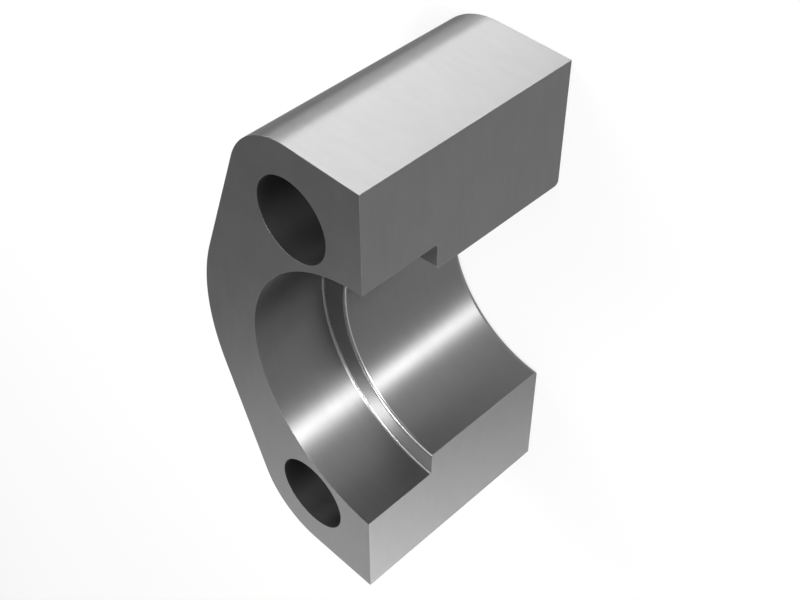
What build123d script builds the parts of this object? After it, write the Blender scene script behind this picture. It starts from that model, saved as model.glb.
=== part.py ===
from build123d import *
import math
import os

# Split flange clamp: one of the two halves that hold a flange head down on a port.
# Millimetres. The origin is on the port axis, in the plane of the face that looks at the port.
# +Z runs out of the head recess along the port axis, X runs along the clamp's length, and the
# metal lies on the +Y side of the port axis. The half rests on its bolt-head face, recess up.

# Bolt pattern of the port, with its two rows counted over both halves of the clamp
bolt_pitch = 57.15
bolt_row_spacing = 27.76
bolt_hole_diameter = 13.0

# Seat for the flange head and its neck, turned about the port axis
neck_bore_diameter = 39.3
shoulder_width = 4.45
head_recess_depth = 13.5

# Body: thickness along the port axis, walls left outside the seat and the bolt holes,
# and how far the split face stands back from the port axis
clamp_thickness = 38.1
back_wall = 10.825
bolt_wall = 5.425
split_face_setback = 1.0

# Rounded edges of the seat: the corner where the recess meets the shoulder, the shoulder's
# inner edge, and the neck bore's edge on the bolt-head face
recess_corner_radius = 0.4
shoulder_edge_radius = 0.5
neck_mouth_radius = 0.8

# How far a cutting shape runs out past the metal
cut_overrun = 2.0

# Sizes worked out from the driving dimensions
bolt_x = bolt_pitch / 2
bolt_y = bolt_row_spacing / 2
bolt_hole_radius = bolt_hole_diameter / 2
neck_radius = neck_bore_diameter / 2
head_radius = neck_radius + shoulder_width
back_radius = head_radius + back_wall
lobe_radius = bolt_hole_radius + bolt_wall
bolt_head_face = -clamp_thickness
shoulder_level = -head_recess_depth


def on_circle(centre, radius, angle):
    """Point on a circle, with the angle in radians from the +X direction."""
    return (centre[0] + radius * math.cos(angle), centre[1] + radius * math.sin(angle))


def clamp_outline():
    """Outline seen along the port axis. A flat end runs from the split face to the bolt's
    centre line, then an arc about the bolt hole, a straight flank tangent to both arcs,
    and the back arc about the port axis. The other end is its mirror image."""
    port_axis = (0, 0)
    bolt_axis = (bolt_x, bolt_y)
    axis_distance = math.hypot(bolt_x, bolt_y)
    bolt_bearing = math.atan2(bolt_y, bolt_x)
    flank_normal = bolt_bearing + math.acos((back_radius - lobe_radius) / axis_distance)
    end_x = bolt_x + lobe_radius
    with BuildSketch() as outline:
        with BuildLine():
            Line((0, split_face_setback), (end_x, split_face_setback))
            Line((end_x, split_face_setback), (end_x, bolt_y))
            ThreePointArc(
                (end_x, bolt_y),
                on_circle(bolt_axis, lobe_radius, flank_normal / 2),
                on_circle(bolt_axis, lobe_radius, flank_normal),
            )
            Line(
                on_circle(bolt_axis, lobe_radius, flank_normal),
                on_circle(port_axis, back_radius, flank_normal),
            )
            ThreePointArc(
                on_circle(port_axis, back_radius, flank_normal),
                on_circle(port_axis, back_radius, (flank_normal + math.pi / 2) / 2),
                (0, back_radius),
            )
            mirror(about=Plane.YZ)
        make_face()
    return outline.sketch


def seat_profile():
    """Section of the space turned out for the flange head and its neck, in the plane of the
    port axis, from the axis outwards. The recess is square at its mouth and rounded where it
    meets the shoulder, and both edges of the neck bore are rounded."""
    mouth_level = bolt_head_face + neck_mouth_radius
    with BuildSketch(Plane.XZ) as profile:
        with BuildLine():
            Polyline(
                (0, cut_overrun),
                (head_radius, cut_overrun),
                (head_radius, shoulder_level + recess_corner_radius),
            )
            RadiusArc(
                (head_radius, shoulder_level + recess_corner_radius),
                (head_radius - recess_corner_radius, shoulder_level),
                recess_corner_radius,
            )
            Line(
                (head_radius - recess_corner_radius, shoulder_level),
                (neck_radius + shoulder_edge_radius, shoulder_level),
            )
            RadiusArc(
                (neck_radius + shoulder_edge_radius, shoulder_level),
                (neck_radius, shoulder_level - shoulder_edge_radius),
                -shoulder_edge_radius,
            )
            Line((neck_radius, shoulder_level - shoulder_edge_radius), (neck_radius, mouth_level))
            RadiusArc(
                (neck_radius, mouth_level),
                (neck_radius + neck_mouth_radius, bolt_head_face),
                -neck_mouth_radius,
            )
            Polyline(
                (neck_radius + neck_mouth_radius, bolt_head_face),
                (neck_radius + neck_mouth_radius, bolt_head_face - cut_overrun),
                (0, bolt_head_face - cut_overrun),
                (0, cut_overrun),
            )
        make_face()
    return profile.sketch


def clamp_half():
    """One half of the clamp, a single piece of steel: the outline carried straight through
    the thickness, the two bolt holes, and the seat turned about the port axis."""
    with BuildPart() as half:
        extrude(clamp_outline(), amount=bolt_head_face)
        with Locations((bolt_x, bolt_y), (-bolt_x, bolt_y)):
            Hole(bolt_hole_radius)
        revolve(seat_profile(), axis=Axis.Z, mode=Mode.SUBTRACT)
    return half.part


os.makedirs("parts", exist_ok=True)
export_step(clamp_half(), "parts/clamp_half.step")
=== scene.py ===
# %% [markdown]
# # One half of a split flange clamp
# This lesson dresses a machined steel block. It is one half of the clamp that holds the head
# of a hydraulic flange down on its port. The imported CAD model gives the exact sizes. Here the
# same block gets finely divided arcs, the small broken edges of a deburred part, and the
# finishes that its tools leave on the steel.
#
# We load the imported model first.

# %% Load the frame
import math

import bmesh
import bpy
import numpy as np
from mathutils import Matrix, Vector


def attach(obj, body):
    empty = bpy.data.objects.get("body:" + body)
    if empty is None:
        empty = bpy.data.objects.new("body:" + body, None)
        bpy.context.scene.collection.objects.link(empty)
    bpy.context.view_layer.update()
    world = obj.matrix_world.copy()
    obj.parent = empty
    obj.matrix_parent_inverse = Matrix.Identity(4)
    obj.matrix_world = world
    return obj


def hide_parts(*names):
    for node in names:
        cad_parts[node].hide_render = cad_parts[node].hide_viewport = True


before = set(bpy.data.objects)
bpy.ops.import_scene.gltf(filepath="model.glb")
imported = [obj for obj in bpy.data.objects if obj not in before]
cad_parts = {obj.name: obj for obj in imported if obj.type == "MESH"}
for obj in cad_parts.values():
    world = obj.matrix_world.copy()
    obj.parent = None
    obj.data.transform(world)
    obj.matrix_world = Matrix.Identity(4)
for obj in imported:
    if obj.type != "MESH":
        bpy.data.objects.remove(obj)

scene = bpy.context.scene
scene.view_settings.view_transform = "Standard"
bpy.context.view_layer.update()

# %% [markdown]
# ## Sizes
# These are the clamp's real sizes. The origin is on the port axis, level with the face that
# looks at the port. +Z runs out of the head recess, X runs from bolt to bolt, and the metal
# lies on the +Y side. We write millimetres, as on a drawing, and turn them into metres once.

# %% Sizes of the clamp half
MM = 0.001
BOLT_X, BOLT_Y, BOLT_HOLE_RADIUS = 28.575 * MM, 13.88 * MM, 6.5 * MM
NECK_RADIUS, HEAD_RADIUS = 19.65 * MM, 24.1 * MM
LOBE_RADIUS, BACK_RADIUS = 11.925 * MM, 34.925 * MM
SPLIT_Y = 1.0 * MM
PORT_LEVEL, SHOULDER_LEVEL, BOLT_HEAD_LEVEL = 0.0, -13.5 * MM, -38.1 * MM
RECESS_CORNER, SHOULDER_EDGE, NECK_MOUTH = 0.4 * MM, 0.5 * MM, 0.8 * MM
END_X = BOLT_X + LOBE_RADIUS
print("clamp half is", round(2 * END_X / MM, 2), "mm long")

# %% [markdown]
# ## Camera
# The photograph looks down on the split face, the recess side and one end at 45 degrees each
# way. Its lens was worked out from the part's straight edges. Because the half lies on its
# bolt-head face here, the camera is rolled, so that the part stands in the picture as it does
# in the photograph. A camera looks along its own -Z axis, so the matrix takes its three axes
# as columns: right, up and backwards.

# %% Camera
CAMERA_PLACE = (0.136863, -0.082449, 0.076796)
SENSOR_WIDTH, LENS_LENGTH, NEAREST_SEEN = 36.0, 58.24, 0.01

camera_data = bpy.data.cameras.new("photo_camera")
camera = bpy.data.objects.new("photo_camera", camera_data)
scene.collection.objects.link(camera)
camera_right = Vector((0.0, -1.0, -1.0)).normalized()
camera_up = Vector((math.sqrt(2.0), 1.0, -1.0)).normalized()
camera_back = camera_right.cross(camera_up)
camera_turn = Matrix((camera_right, camera_up, camera_back)).transposed().to_4x4()
camera.matrix_world = Matrix.Translation(CAMERA_PLACE) @ camera_turn
camera_data.sensor_width = SENSOR_WIDTH
camera_data.lens = LENS_LENGTH
camera_data.clip_start = NEAREST_SEEN
scene.camera = camera
print("camera looks along", [round(c, 3) for c in -camera_back])

# %% [markdown]
# ## The outline
# Seen along the port axis, the block has a flat end, an arc about the bolt hole, a straight
# flank tangent to two arcs, and a back arc about the port axis. It could be traced as a Bezier
# curve, but a curve handle only comes near a circle. We work the points out instead, and take
# enough of them that the silhouette stays round close up.

# %% Outline of the block
LOBE_STEPS, BACK_STEPS = 48, 72


def arc(centre, radius, start, stop, steps):
    """Points of an arc in the XY plane, both ends included."""
    turns = np.linspace(start, stop, steps + 1)
    return [(centre[0] + radius * math.cos(a), centre[1] + radius * math.sin(a)) for a in turns]


flank_normal = math.atan2(BOLT_Y, BOLT_X) + math.acos(
    (BACK_RADIUS - LOBE_RADIUS) / math.hypot(BOLT_X, BOLT_Y)
)
half_outline = (
    [(END_X, SPLIT_Y)]
    + arc((BOLT_X, BOLT_Y), LOBE_RADIUS, 0.0, flank_normal, LOBE_STEPS)
    + arc((0.0, 0.0), BACK_RADIUS, flank_normal, math.pi / 2, BACK_STEPS // 2)
)
outline = half_outline + [(-x, y) for x, y in reversed(half_outline[:-1])]
flank_lean = 90 - math.degrees(flank_normal)
print("outline has", len(outline), "points; the flank leans", round(flank_lean, 1), "degrees")

# %% [markdown]
# ## The block
# The real half is forged or cut from thick bar, and its outline runs straight through the
# thickness. That is a prism: two ends and a ring of sides. A Solidify modifier or an extruded
# curve would do it too, but with faces of our own we know that every side is one true step of
# the outline. The same helper makes the drills later.

# %% Raise the outline to a block


def mesh_object(name, bm):
    """A new object from a bmesh, linked to the scene."""
    made_mesh = bpy.data.meshes.new(name)
    bm.to_mesh(made_mesh)
    bm.free()
    made = bpy.data.objects.new(name, made_mesh)
    scene.collection.objects.link(made)
    return made


def prism(name, points, low, high):
    """A closed prism over points given anticlockwise, between two levels."""
    bm = bmesh.new()
    lower_ring = [bm.verts.new((x, y, low)) for x, y in points]
    upper_ring = [bm.verts.new((x, y, high)) for x, y in points]
    bm.faces.new(list(reversed(lower_ring)))
    bm.faces.new(upper_ring)
    for i in range(len(points)):
        j = (i + 1) % len(points)
        bm.faces.new((lower_ring[i], lower_ring[j], upper_ring[j], upper_ring[i]))
    return mesh_object(name, bm)


clamp = prism("clamp_half_steel", outline, BOLT_HEAD_LEVEL, PORT_LEVEL)
print("block has", len(clamp.data.polygons), "faces")

# %% [markdown]
# ## The seat's section
# A lathe turns the seat: the wide recess for the flange head, the shoulder that pulls on the
# head, and the narrower bore for the neck. A turned shape is one section spun about an axis,
# so we draw the section first, from the axis outwards and down. Its corner and its two inner
# edges are rounded, as the photograph shows by the thin bright lines beside the shoulder.

# %% Section of the turned seat
OVERRUN = 2.0 * MM
FILLET_STEPS = 8


def fillet(centre, radius, start, stop):
    """Points of a rounded edge in the section plane, with angles in degrees."""
    return arc(centre, radius, math.radians(start), math.radians(stop), FILLET_STEPS)


corner_centre = (HEAD_RADIUS - RECESS_CORNER, SHOULDER_LEVEL + RECESS_CORNER)
inner_edge_centre = (NECK_RADIUS + SHOULDER_EDGE, SHOULDER_LEVEL - SHOULDER_EDGE)
mouth_centre = (NECK_RADIUS + NECK_MOUTH, BOLT_HEAD_LEVEL + NECK_MOUTH)
seat_section = (
    [(0.0, OVERRUN), (HEAD_RADIUS, OVERRUN)]
    + fillet(corner_centre, RECESS_CORNER, 0, -90)
    + fillet(inner_edge_centre, SHOULDER_EDGE, 90, 180)
    + fillet(mouth_centre, NECK_MOUTH, 180, 270)
    + [(NECK_RADIUS + NECK_MOUTH, BOLT_HEAD_LEVEL - OVERRUN), (0.0, BOLT_HEAD_LEVEL - OVERRUN)]
)
print("seat section has", len(seat_section), "points")

# %% [markdown]
# ## The turning tool
# A Screw modifier can spin a section, but its seam and its poles need cleaning before a
# Boolean will take it. We build the rings of faces ourselves, which closes the body in one
# go. It is cut in whole degrees, so each facet is about 0.4 mm wide.

# %% Spin the section to a turning tool
SEAT_STEPS = 360


def turned(name, section, steps):
    """A closed body of revolution about the Z axis, whose section starts and ends on the axis."""
    bm = bmesh.new()
    top = bm.verts.new((0.0, 0.0, section[0][1]))
    bottom = bm.verts.new((0.0, 0.0, section[-1][1]))
    rings = []
    for k in range(steps):
        a = 2 * math.pi * k / steps
        ring = [(r * math.cos(a), r * math.sin(a), z) for r, z in section[1:-1]]
        rings.append([bm.verts.new(point) for point in ring])
    for k in range(steps):
        near, far = rings[k], rings[(k + 1) % steps]
        bm.faces.new((top, near[0], far[0]))
        bm.faces.new((bottom, far[-1], near[-1]))
        for i in range(len(near) - 1):
            bm.faces.new((near[i], near[i + 1], far[i + 1], far[i]))
    return mesh_object(name, bm)


seat_tool = turned("seat_tool", seat_section, SEAT_STEPS)
print("seat tool has", len(seat_tool.data.polygons), "faces")

# %% [markdown]
# ## The drills
# Each end has a plain round hole, drilled right through for a clamp screw. A drill is a round
# prism that runs out past the metal on both sides, because a cut that ends exactly on a face
# leaves a skin there.

# %% Drills for the bolt holes
HOLE_STEPS = 128

hole_circle = arc((0.0, 0.0), BOLT_HOLE_RADIUS, 0.0, 2 * math.pi, HOLE_STEPS)[:-1]
drills = [
    prism(
        "drill",
        [(side * BOLT_X + x, BOLT_Y + y) for x, y in hole_circle],
        BOLT_HEAD_LEVEL - OVERRUN,
        PORT_LEVEL + OVERRUN,
    )
    for side in (1, -1)
]
print(len(drills), "drills of", HOLE_STEPS, "sides,", 2 * BOLT_HOLE_RADIUS / MM, "mm across")

# %% [markdown]
# ## Cutting
# A Boolean modifier subtracts a tool from the block, and the exact solver keeps the cut's
# corners where they belong. We apply each cut before the next one, and remove the tool.

# %% Cut the block


def apply_modifiers(obj):
    """Turns what the modifiers make into the object's own mesh."""
    depsgraph = bpy.context.evaluated_depsgraph_get()
    made_mesh = bpy.data.meshes.new_from_object(obj.evaluated_get(depsgraph))
    obj.modifiers.clear()
    obj.data = made_mesh


for tool in [*drills, seat_tool]:
    cut = clamp.modifiers.new("cut", "BOOLEAN")
    cut.operation, cut.solver, cut.object = "DIFFERENCE", "EXACT", tool
    apply_modifiers(clamp)
    bpy.data.objects.remove(tool)
print("cut block has", len(clamp.data.polygons), "faces")

# %% [markdown]
# ## Deburring
# After machining, a real part is deburred: every edge that could cut a hand or a seal is
# broken by a few hundredths of a millimetre. That narrow facet is what makes an edge read as
# metal, because it catches the light on its own. A Bevel modifier limited by angle finds
# those edges and leaves the small steps of the arcs alone.

# %% Break the edges
EDGE_BREAK, EDGE_SEGMENTS = 0.05 * MM, 2
SHARPEST_ARC_STEP = math.radians(40)

edge_break = clamp.modifiers.new("edge_break", "BEVEL")
edge_break.width, edge_break.segments = EDGE_BREAK, EDGE_SEGMENTS
edge_break.limit_method, edge_break.angle_limit = "ANGLE", SHARPEST_ARC_STEP
edge_break.use_clamp_overlap = False
apply_modifiers(clamp)
print("deburred block has", len(clamp.data.polygons), "faces")

# %% [markdown]
# ## True normals of the seat
# Shading follows normals. A smoothed mesh guesses them from its facets, which leaves faint
# bands on curved walls and drags shade across big flat faces. We know the exact surface
# everywhere, so we work its normal out. For the turned seat that is easiest in its section,
# where a wall points at the axis, the shoulder points up, and a rounded edge points away
# from its centre or towards it.

# %% Normal of the turned seat
ON_SURFACE = 0.002 * MM
# Centre, radius, and 1 where the normal points away from the centre or -1 where towards it
SEAT_FILLETS = (
    (corner_centre, RECESS_CORNER, -1),
    (inner_edge_centre, SHOULDER_EDGE, 1),
    (mouth_centre, NECK_MOUTH, 1),
)


def section_normal(radius, level):
    """Normal of the turned seat in its section plane, as (radial, axial), or None off it."""
    if abs(radius - HEAD_RADIUS) < ON_SURFACE and level > SHOULDER_LEVEL + RECESS_CORNER:
        return (-1.0, 0.0)
    if abs(radius - NECK_RADIUS) < ON_SURFACE and (
        BOLT_HEAD_LEVEL + NECK_MOUTH < level < SHOULDER_LEVEL - SHOULDER_EDGE
    ):
        return (-1.0, 0.0)
    if abs(level - SHOULDER_LEVEL) < ON_SURFACE and (
        NECK_RADIUS + SHOULDER_EDGE < radius < HEAD_RADIUS - RECESS_CORNER
    ):
        return (0.0, 1.0)
    for centre, edge_radius, way in SEAT_FILLETS:
        across, along = radius - centre[0], level - centre[1]
        if abs(math.hypot(across, along) - edge_radius) < ON_SURFACE:
            return (way * across / edge_radius, way * along / edge_radius)
    return None


print("normal half-way down the bore:", section_normal(NECK_RADIUS, -25 * MM))

# %% [markdown]
# ## True normals of the rest
# A plane has one normal, and an arc's normal points away from its centre, or towards it
# inside a hole. We ask each surface in turn whether the point lies on it. Only the broken
# edges lie on none of them, and there the mesh keeps the normals that it works out itself.

# %% Normal of every vertex


def surface_normal(p):
    """Exact outward normal of the clamp half at a point of its surface, or None."""
    if abs(p.z - PORT_LEVEL) < ON_SURFACE:
        return Vector((0, 0, 1))
    if abs(p.z - BOLT_HEAD_LEVEL) < ON_SURFACE:
        return Vector((0, 0, -1))
    if abs(p.y - SPLIT_Y) < ON_SURFACE:
        return Vector((0, -1, 0))
    radius = math.hypot(p.x, p.y)
    in_section = section_normal(radius, p.z)
    if in_section:
        return Vector((in_section[0] * p.x / radius, in_section[0] * p.y / radius, in_section[1]))
    side = 1 if p.x > 0 else -1
    across, along = side * p.x - BOLT_X, p.y - BOLT_Y
    from_bolt = math.hypot(across, along)
    if abs(from_bolt - BOLT_HOLE_RADIUS) < ON_SURFACE:
        return Vector((-side * across, -along, 0)).normalized()
    if abs(side * p.x - END_X) < ON_SURFACE and p.y <= BOLT_Y:
        return Vector((side, 0, 0))
    if abs(from_bolt - LOBE_RADIUS) < ON_SURFACE and along > 0:
        return Vector((side * across, along, 0)).normalized()
    if abs(radius - BACK_RADIUS) < ON_SURFACE:
        return Vector((p.x, p.y, 0)).normalized()
    past_flank = across * math.cos(flank_normal) + along * math.sin(flank_normal) - LOBE_RADIUS
    if abs(past_flank) < ON_SURFACE:
        return Vector((side * math.cos(flank_normal), math.sin(flank_normal), 0))
    return None


mesh = clamp.data
mesh.polygons.foreach_set("use_smooth", [True] * len(mesh.polygons))
exact = [surface_normal(v.co) for v in mesh.vertices]
print("vertices with an exact normal:", sum(n is not None for n in exact), "of", len(exact))
mesh.normals_split_custom_set_from_vertices(
    [tuple(v.normal if n is None else n) for n, v in zip(exact, mesh.vertices)]
)

# %% [markdown]
# ## Which tool left which surface
# Each surface shows the tool that made it, so one piece of steel needs several finishes. We
# sort the faces by the exact surface that they lie on. A face with its corners on two
# surfaces, or on none, belongs to a broken edge. The seat is sorted once more by the way a
# face looks: the shoulder looks straight up, its two rounded edges look partly up, and the
# rounded mouth on the bolt-head side looks down.

# %% Sort the faces by finish
SAME_WAY, STRAIGHT_UP, PARTLY_UP = 0.9, 0.998, 0.05


def finish_of(p, normal):
    """Name of the finish of the surface that a vertex lies on, or None."""
    if normal is None:
        return None
    if abs(p.z - PORT_LEVEL) < ON_SURFACE or abs(p.z - BOLT_HEAD_LEVEL) < ON_SURFACE:
        return "face_ground"
    if abs(p.y - SPLIT_Y) < ON_SURFACE:
        return "split_ground"
    if section_normal(math.hypot(p.x, p.y), p.z):
        return "seat_bored"
    if abs(math.hypot(abs(p.x) - BOLT_X, p.y - BOLT_Y) - BOLT_HOLE_RADIUS) < ON_SURFACE:
        return "hole_drilled"
    return "outside_ground"


vertex_finish = [finish_of(v.co, n) for v, n in zip(mesh.vertices, exact)]
face_finish = []
for polygon in mesh.polygons:
    found = {vertex_finish[i] for i in polygon.vertices}
    leaning = any(
        exact[i] is None or exact[i].dot(polygon.normal) < SAME_WAY for i in polygon.vertices
    )
    made_by = "edge_broken" if leaning or len(found) > 1 else found.pop()
    if made_by == "seat_bored" and polygon.normal.z > PARTLY_UP:
        made_by = "shoulder_faced" if polygon.normal.z > STRAIGHT_UP else "seat_rounded"
    elif made_by == "seat_bored" and polygon.normal.z < -PARTLY_UP:
        made_by = "edge_broken"
    face_finish.append(made_by)
for finish_name in sorted(set(face_finish)):
    print(finish_name, face_finish.count(finish_name), "faces")

# %% [markdown]
# ## Shared effects
# Three effects return in every finish: streaks left by a tool, fine grain in the steel, and
# edges rubbed bright by handling. Each is a node group, built once, with named inputs so that
# every finish sets its own values. The groups work in the part's own metres, so a 0.2 mm feed
# really is 0.2 mm wide, wherever the camera stands. A few helpers keep the node code short.

# %% Helpers for node trees


def node_group(name, inputs, outputs):
    """A shader node group of float sockets, with its own input and output nodes."""
    group = bpy.data.node_groups.new(name, "ShaderNodeTree")
    for label, value in inputs.items():
        socket = group.interface.new_socket(label, in_out="INPUT", socket_type="NodeSocketFloat")
        socket.default_value = value
    for label in outputs:
        group.interface.new_socket(label, in_out="OUTPUT", socket_type="NodeSocketFloat")
    group_in = group.nodes.new("NodeGroupInput").outputs
    group_out = group.nodes.new("NodeGroupOutput").inputs
    return group, group_in, group_out


def feed(tree, node, values):
    """Links or sets a node's inputs in turn, each with a socket or a plain value."""
    for socket, value in zip(node.inputs, values):
        if isinstance(value, bpy.types.NodeSocket):
            tree.links.new(value, socket)
        else:
            socket.default_value = value
    return node


def maths(tree, operation, *values):
    """The result of a Math node."""
    node = tree.nodes.new("ShaderNodeMath")
    node.operation = operation
    return feed(tree, node, values).outputs[0]


def vectors(tree, operation, *values):
    """The result of a Vector Math node, a number for a dot product or a length."""
    node = tree.nodes.new("ShaderNodeVectorMath")
    node.operation = operation
    result = "Value" if operation in ("DOT_PRODUCT", "LENGTH") else "Vector"
    return feed(tree, node, values).outputs[result]


def joined(tree, x, y, z):
    """A vector made from three sockets or numbers."""
    return feed(tree, tree.nodes.new("ShaderNodeCombineXYZ"), (x, y, z)).outputs[0]


print("node helpers ready")

# %% [markdown]
# Every effect starts from where a point lies on the part, and most of them end in noise. A
# Texture Coordinate node's Object output gives the place in the part's own metres.

# %% Where a point lies, and noise there
NOISE_ROUGHNESS = 0.6
FINE_DETAIL, PATCH_DETAIL, BROAD_DETAIL = 2.0, 3.0, 4.0


def own_place(tree):
    """The shaded point in the part's own metres, as a vector and as X, Y and Z."""
    place = tree.nodes.new("ShaderNodeTexCoord").outputs["Object"]
    split = feed(tree, tree.nodes.new("ShaderNodeSeparateXYZ"), (place,))
    return place, split.outputs


def noise(tree, vector, detail):
    """A noise texture read at a vector. Its factor stays near 0.5."""
    texture = feed(tree, tree.nodes.new("ShaderNodeTexNoise"), (vector,))
    texture.inputs["Scale"].default_value = 1.0
    texture.inputs["Detail"].default_value = detail
    texture.inputs["Roughness"].default_value = NOISE_ROUGHNESS
    return texture.outputs[0]


print("place and noise ready")

# %% [markdown]
# A tool streak is narrow across the cut and long along it, so noise stretched along the cut
# draws it well. `Across` says how far a point lies across the streaks, and each finish works
# that out for its own tool. Noise never repeats as a wave does, which suits a worn cutter.
# The fine streaks go to the relief, and broader bands of them go to the tone.

# %% Group for tool streaks
LATHE_FEED, STREAK_LENGTH = 0.2 * MM, 6 * MM
BANDS_PER_CUT = 0.15

streaks, streaks_in, streaks_out = node_group(
    "tool streaks", {"Across": 0.0, "Feed": LATHE_FEED, "Length": STREAK_LENGTH}, ["Height", "Tone"]
)
_, (own_x, own_y, own_z) = own_place(streaks)
along_x = maths(streaks, "DIVIDE", own_x, streaks_in["Length"])
along_y = maths(streaks, "DIVIDE", own_y, streaks_in["Length"])
cuts = maths(streaks, "DIVIDE", streaks_in["Across"], streaks_in["Feed"])
bands = maths(streaks, "MULTIPLY", cuts, BANDS_PER_CUT)
for across, detail, result in ((cuts, FINE_DETAIL, "Height"), (bands, BROAD_DETAIL, "Tone")):
    stretched = joined(streaks, along_x, along_y, across)
    streaks.links.new(noise(streaks, stretched, detail), streaks_out[result])
print("group", streaks.name)

# %% [markdown]
# Grain is the steel itself: tiny, and the same in every direction. A second, twenty times
# broader noise stands for the faint clouds that cutting oil and handling leave.

# %% Group for steel grain
GRAIN_SIZE = 0.3 * MM
CLOUDS_PER_GRAIN = 0.05

grain, grain_in, grain_out = node_group("steel grain", {"Size": GRAIN_SIZE}, ["Height", "Tone"])
place, _ = own_place(grain)
size = grain_in["Size"]
fine = vectors(grain, "DIVIDE", place, joined(grain, size, size, size))
broad = vectors(grain, "MULTIPLY", fine, (CLOUDS_PER_GRAIN,) * 3)
grain.links.new(noise(grain, fine, FINE_DETAIL), grain_out["Height"])
grain.links.new(noise(grain, broad, BROAD_DETAIL), grain_out["Tone"])
print("group", grain.name)

# %% [markdown]
# Handling polishes whatever stands proud. A Bevel node gives the normal that the surface would
# have if its edges were rounded. Where that differs from the real normal, an edge is near, and
# the steel there is rubbed brighter. Noise breaks the line up, as real rubbing does.

# %% Group for rubbed edges
RUB_WIDTH, RUB_AMOUNT = 0.5 * MM, 1.5
PATCHES_PER_METRE = 400.0
BEVEL_SAMPLES = 4

rubbed, rubbed_in, rubbed_out = node_group(
    "rubbed edges", {"Width": RUB_WIDTH, "Amount": RUB_AMOUNT}, ["Mask"]
)
rounded_edge = rubbed.nodes.new("ShaderNodeBevel")
rounded_edge.samples = BEVEL_SAMPLES
rubbed.links.new(rubbed_in["Width"], rounded_edge.inputs["Radius"])
own_normal = rubbed.nodes.new("ShaderNodeNewGeometry").outputs["Normal"]
facing = vectors(rubbed, "DOT_PRODUCT", rounded_edge.outputs[0], own_normal)
place, _ = own_place(rubbed)
patch_place = vectors(rubbed, "MULTIPLY", place, (PATCHES_PER_METRE,) * 3)
patches = noise(rubbed, patch_place, PATCH_DETAIL)
near_edge = maths(rubbed, "MULTIPLY", maths(rubbed, "SUBTRACT", 1.0, facing), patches)
strength = maths(rubbed, "MULTIPLY", near_edge, rubbed_in["Amount"])
rubbed.links.new(maths(rubbed, "MINIMUM", strength, 1.0), rubbed_out["Mask"])
print("group", rubbed.name)

# %% [markdown]
# ## The steel
# All finishes are one steel, so they share one recipe: a metal whose tone, roughness and
# relief come from the three groups. The relief is a few micrometres deep, too fine for
# geometry, so a Bump node carries it. Cut metal also has a direction. Its grooves spread a
# reflection across themselves, which draws the long bright band down a turned bore. The
# shader's anisotropy does that: it stretches the reflection along a tangent, so we give it
# the direction across the grooves.

# %% Recipe for a steel finish
STEEL_GREY = 0.22
MICROMETRE = 0.001 * MM
ROUGHNESS_SPREAD, RUBBED_SMOOTHER = 0.1, 0.08
TONE_SHARE, DARK_STOP, LIGHT_STOP = 0.5, 0.3, 0.7


def placed(tree, group, **values):
    """A node group placed in a material, with its own values."""
    node = tree.nodes.new("ShaderNodeGroup")
    node.node_tree = group
    for label, value in values.items():
        node.inputs[label].default_value = value
    return node


def steel_finish(
    name,
    *,
    grey,
    contrast,
    roughness,
    anisotropy=0.0,
    cut_feed=LATHE_FEED,
    streak_relief=0.0,
    grain_relief=1.0,
):
    """Steel with tool streaks, grain and rubbed edges. Relief is in micrometres. Returns the
    material's node tree, its streak node and its shader, to say which way the tool went."""
    material = bpy.data.materials.new(name)
    material.use_nodes = True
    tree = material.node_tree
    shader = tree.nodes["Principled BSDF"]
    shader.inputs["Metallic"].default_value = 1.0
    shader.inputs["Anisotropic"].default_value = anisotropy
    lines = placed(tree, streaks, Feed=cut_feed)
    specks = placed(tree, grain, Size=GRAIN_SIZE)
    rub = placed(tree, rubbed, Width=RUB_WIDTH, Amount=RUB_AMOUNT)

    tone = maths(tree, "ADD", lines.outputs["Tone"], specks.outputs["Tone"])
    tone = maths(tree, "ADD", rub.outputs["Mask"], tone)
    ramp = tree.nodes.new("ShaderNodeValToRGB")
    shades = (grey * (1 - contrast), grey * (1 + contrast))
    for stop, position, shade in zip(ramp.color_ramp.elements, (DARK_STOP, LIGHT_STOP), shades):
        stop.position, stop.color = position, (shade, shade, shade, 1.0)
    tree.links.new(maths(tree, "MULTIPLY", tone, TONE_SHARE), ramp.inputs[0])
    tree.links.new(ramp.outputs[0], shader.inputs["Base Color"])

    smoothest = roughness - ROUGHNESS_SPREAD / 2
    dull = maths(tree, "MULTIPLY_ADD", specks.outputs["Tone"], ROUGHNESS_SPREAD, smoothest)
    dull = maths(tree, "MULTIPLY_ADD", rub.outputs["Mask"], -RUBBED_SMOOTHER, dull)
    tree.links.new(dull, shader.inputs["Roughness"])

    bump = tree.nodes.new("ShaderNodeBump")
    bump.inputs["Distance"].default_value = MICROMETRE
    relief = maths(tree, "MULTIPLY", lines.outputs["Height"], streak_relief)
    relief = maths(tree, "MULTIPLY_ADD", specks.outputs["Height"], grain_relief, relief)
    tree.links.new(relief, bump.inputs["Height"])
    tree.links.new(bump.outputs[0], shader.inputs["Normal"])
    clamp.data.materials.append(material)
    return tree, lines, shader


def cut_along(tree, lines, shader, across, tangent):
    """Says how far a point lies across the tool's streaks, and the direction across them."""
    tree.links.new(across, lines.inputs["Across"])
    tree.links.new(tangent, shader.inputs["Tangent"])


print("steel recipe ready")

# %% [markdown]
# ## Ground faces
# The face that looks at the port and the one under the bolt heads are ground flat on a machine
# whose wheel runs along the part. Their streaks lie along X and differ across Y.

# %% Ground faces
tree, lines, shader = steel_finish(
    "face_ground",
    grey=STEEL_GREY,
    contrast=0.06,
    roughness=0.38,
    anisotropy=0.5,
    cut_feed=0.25 * MM,
    streak_relief=2.0,
)
cut_along(tree, lines, shader, own_place(tree)[1]["Y"], joined(tree, 0.0, 1.0, 0.0))
print("finish", clamp.data.materials[-1].name)
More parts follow.
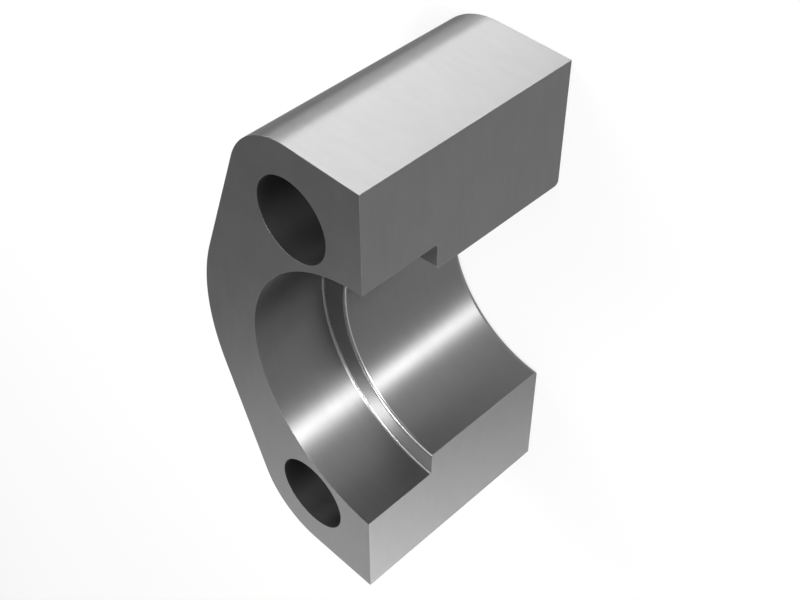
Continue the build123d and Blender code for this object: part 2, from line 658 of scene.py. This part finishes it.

# %% [markdown]
# ## Split faces and outside
# The split faces and the outside are finished on a belt that runs level round the part. Their
# streaks differ only with height, and each reflection is drawn out up and down. The outside
# is a little duller than the split faces, as its soft highlights in the photograph show. The
# split faces take a darker grey, which is painted shade: it dims the white floor they mirror.

# %% Belt-ground split faces and outside
for finish_name, grey, roughness, anisotropy in (
    # Painted shade: the darker grey 0.19 dims the floor that the split faces mirror.
    ("split_ground", 0.19, 0.42, 0.95),
    ("outside_ground", STEEL_GREY, 0.5, 1.0),
):
    tree, lines, shader = steel_finish(
        finish_name,
        grey=grey,
        contrast=0.06,
        roughness=roughness,
        anisotropy=anisotropy,
        cut_feed=0.25 * MM,
        streak_relief=2.0,
    )
    cut_along(tree, lines, shader, own_place(tree)[1]["Z"], joined(tree, 0.0, 0.0, 1.0))
    print("finish", clamp.data.materials[-1].name)

# %% [markdown]
# ## Turned seat
# On the lathe the tool goes round the port axis. It cuts down a wall and across the shoulder,
# so height plus distance from the axis counts its turns on both. The direction across the
# grooves is square to the normal and to the way round, which a cross product gives: down the
# walls of the bore, and outwards on the shoulder. The bored walls take a darker grey, which is
# painted shade in the bore. The shoulder takes a paler grey, which is painted light: it lifts
# the shoulder where the recess wall shades it, and brightens its highlight.

# %% Bored walls and faced shoulder
for finish_name, grey, roughness, anisotropy in (
    # Painted shade: the darker grey 0.19 darkens the bored walls.
    ("seat_bored", 0.19, 0.455, 0.9),
    # Painted light: the paler grey 0.3 lifts the shaded shoulder and its highlight.
    ("shoulder_faced", 0.3, 0.45, 1.0),
):
    tree, lines, shader = steel_finish(
        finish_name,
        grey=grey,
        contrast=0.05,
        roughness=roughness,
        anisotropy=anisotropy,
        cut_feed=LATHE_FEED,
        streak_relief=2.5,
        grain_relief=0.6,
    )
    _, (own_x, own_y, own_z) = own_place(tree)
    from_axis = vectors(tree, "LENGTH", joined(tree, own_x, own_y, 0.0))
    way_round = joined(tree, maths(tree, "MULTIPLY", own_y, -1.0), own_x, 0.0)
    own_normal = tree.nodes.new("ShaderNodeNewGeometry").outputs["Normal"]
    cut_along(
        tree,
        lines,
        shader,
        maths(tree, "ADD", own_z, from_axis),
        vectors(tree, "CROSS_PRODUCT", own_normal, way_round),
    )
    print("finish", clamp.data.materials[-1].name)

# %% [markdown]
# ## Rounded edges of the seat
# The nose of the turning tool rounds the recess corner and the shoulder's inner edge. Their
# radii are half a millimetre or less, and the tool rubs as it turns round them, so they come
# out smoother than the walls. Their paler grey is a painted highlight. In the photograph they
# are the two thin light lines beside the shoulder. They have no streaks, because the nose
# leaves none that small.

# %% Rounded edges
# Painted highlight: the pale grey 0.34 brightens the rounded edges' thin light lines.
steel_finish("seat_rounded", grey=0.34, contrast=0.05, roughness=0.28, grain_relief=0.5)
print("finish", clamp.data.materials[-1].name)

# %% [markdown]
# ## Drilled holes
# A drill leaves coarser rings than a lathe tool, a third of a millimetre apart. The hole's dark
# grey is painted shade, which darkens the inside of the hole. The rings run round the hole as
# they do round the bore, so the reflection is drawn out along the hole again, only more weakly.

# %% Drilled holes
# Painted shade: the dark grey 0.14 darkens the inside of the holes.
tree, lines, shader = steel_finish(
    "hole_drilled",
    grey=0.14,
    contrast=0.1,
    roughness=0.5,
    anisotropy=0.7,
    cut_feed=0.35 * MM,
    streak_relief=4.0,
)
cut_along(tree, lines, shader, own_place(tree)[1]["Z"], joined(tree, 0.0, 0.0, 1.0))
print("finish", clamp.data.materials[-1].name)

# %% [markdown]
# ## Broken edges
# A file or a brush breaks the edges by hand, in every direction, so they have grain but no
# streaks and no anisotropy. They look towards the lamps at an angle of their own. A darker
# grey keeps them thin, as in the photograph, where an edge is hardly lighter than its faces.

# %% Broken edges
steel_finish("edge_broken", grey=0.18, contrast=0.05, roughness=0.5)
print("finish", clamp.data.materials[-1].name)

# %% [markdown]
# ## Dress the part
# Each face now takes the material that its tool left. Then the CAD's clamp half is hidden,
# our mesh stands in its place, and it rides on the only body.

# %% Put the finishes on
slot_of = {material.name: i for i, material in enumerate(mesh.materials)}
mesh.polygons.foreach_set("material_index", [slot_of[name] for name in face_finish])
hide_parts("clamp_half")
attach(clamp, "root")
print(len(slot_of), "finishes on", clamp.name)

# %% [markdown]
# ## Floor
# The part lies on its bolt-head face on white paper. The paper is a wide disc of matt white.
# Lit by the lamps alone it would turn grey towards the horizon, so what the camera, a
# reflection or glass sees of it is partly a plain white glow of strength 1. The glow lights
# nothing else, and the paper's own share keeps the part's shadow.

# %% White paper floor
FLOOR_RADIUS, FLOOR_SIDES = 8.0, 96
PAPER_WHITE, GLOW_SHARE = 0.9, 0.78

bm = bmesh.new()
bmesh.ops.create_circle(bm, cap_ends=True, radius=FLOOR_RADIUS, segments=FLOOR_SIDES)
floor = mesh_object("floor", bm)
floor.location.z = BOLT_HEAD_LEVEL
floor_paper = bpy.data.materials.new("floor_paper")
floor_paper.use_nodes = True
tree = floor_paper.node_tree
tree.nodes.clear()
paper = tree.nodes.new("ShaderNodeBsdfDiffuse")
paper.inputs["Color"].default_value = (PAPER_WHITE, PAPER_WHITE, PAPER_WHITE, 1.0)
glow = tree.nodes.new("ShaderNodeEmission")
glow.inputs["Strength"].default_value = 1.0
rays = tree.nodes.new("ShaderNodeLightPath").outputs
seen = maths(tree, "MAXIMUM", rays["Is Camera Ray"], rays["Is Glossy Ray"])
seen = maths(tree, "MAXIMUM", seen, rays["Is Transmission Ray"])
share = maths(tree, "MULTIPLY", seen, GLOW_SHARE)
blend = tree.nodes.new("ShaderNodeMixShader")
feed(tree, blend, (share, paper.outputs[0], glow.outputs[0]))
tree.links.new(blend.outputs[0], tree.nodes.new("ShaderNodeOutputMaterial").inputs["Surface"])
floor.data.materials.append(floor_paper)
print("floor lies at", round(floor.location.z / MM, 2), "mm")

# %% [markdown]
# ## Studio walls
# Steel shows what stands round it. In a white room it would look like plaster, and in a black
# one like tar. The photograph's steel is mid grey with a few bright bands, so the room is
# dim above. It brightens smoothly towards the horizon, where it meets the white floor.

# %% Studio walls
HORIZON, WALL_TOP = 0.0, 0.3
PALE_WALL, DARK_WALL = 0.84, 0.26

world = bpy.data.worlds.new("studio")
scene.world = world
world.use_nodes = True
tree = world.node_tree
way_out = tree.nodes.new("ShaderNodeTexCoord").outputs["Generated"]
height_seen = feed(tree, tree.nodes.new("ShaderNodeSeparateXYZ"), (way_out,)).outputs["Z"]
fade = tree.nodes.new("ShaderNodeMapRange")
fade.interpolation_type = "SMOOTHSTEP"
feed(tree, fade, (height_seen, HORIZON, WALL_TOP, PALE_WALL, DARK_WALL))
background = tree.nodes["Background"]
background.inputs["Color"].default_value = (1.0, 1.0, 1.0, 1.0)
tree.links.new(fade.outputs[0], background.inputs["Strength"])
print("walls fade from", PALE_WALL, "at the floor to", DARK_WALL, "above")

# %% [markdown]
# ## Lamps
# Every lamp is a soft area lamp. For steel, a lamp is a shape that the metal mirrors: where it
# stands decides which surface lights up, its width decides how wide the band gets, and its
# radiance, the brightness of its face, decides how bright. So each lamp is given by its
# azimuth from +X, its elevation, its distance and its size, and the power follows from the
# radiance. A lamp with elevation 0 stands upright just above the floor.

# %% How a lamp is set up
clamp_centre = Vector((0.0, 18.0 * MM, -19.0 * MM))
LAMP_FOOT = 2.0 * MM


def lamp(name, azimuth, elevation, distance, width, height, radiance):
    """A soft area lamp aimed at the clamp, angles in degrees. Without a height it is round."""
    data = bpy.data.lights.new(name, "AREA")
    data.shape, data.size = ("RECTANGLE" if height else "DISK"), width
    data.size_y = height or width
    face = width * height if height else math.pi * width**2 / 4
    data.energy = math.pi * face * radiance
    made = bpy.data.objects.new(name, data)
    scene.collection.objects.link(made)
    a, e = math.radians(azimuth), math.radians(elevation)
    away = Vector((math.cos(a) * math.cos(e), math.sin(a) * math.cos(e), math.sin(e)))
    made.location = clamp_centre + distance * away
    if not elevation:
        made.location.z = BOLT_HEAD_LEVEL + LAMP_FOOT + height / 2
    made.rotation_euler = away.to_track_quat("Z", "Y").to_euler()
    made.visible_camera = False
    return made


print("lamps aim at", [round(c / MM, 1) for c in clamp_centre], "mm")

# %% [markdown]
# The end panel, its fill and the end softbox make the flat end the brightest face, and the
# left panel lights the lower split face. The distant front strip draws the bright band down
# the bore and the recess. Panels and strip stand no higher than the port-side face, or they
# would wash it out seen from the far side. A small softbox high in front lights the shoulder
# where the band crosses it. The overhead softbox gives the level faces their grey, and the
# back softbox makes the port-side face paler towards its lower end.

# %% Lamps
PANEL_HEIGHT = 34.0 * MM

for row in (
    # name, azimuth, elevation, distance, width, height, radiance
    ("end_panel", 27, 0, 0.22, 0.09, PANEL_HEIGHT, 34.0),
    ("end_fill", 50, 0, 0.22, 0.08, PANEL_HEIGHT, 7.3),
    ("end_softbox", 60, 45, 0.6, 0.3, 0, 4.0),
    ("front_strip", 304.6, 0, 2.0, 0.3, PANEL_HEIGHT, 1235.0),
    ("left_panel", 208, 0, 0.22, 0.09, PANEL_HEIGHT, 10.8),
    ("overhead_softbox", 20, 70, 0.6, 0.7, 0, 1.0),
    ("high_front_softbox", 303, 80, 0.6, 0.1, 0, 81.0),
    ("back_softbox", 162, 21, 0.6, 0.38, 0, 0.9),
):
    print("lamp", lamp(*row).name)
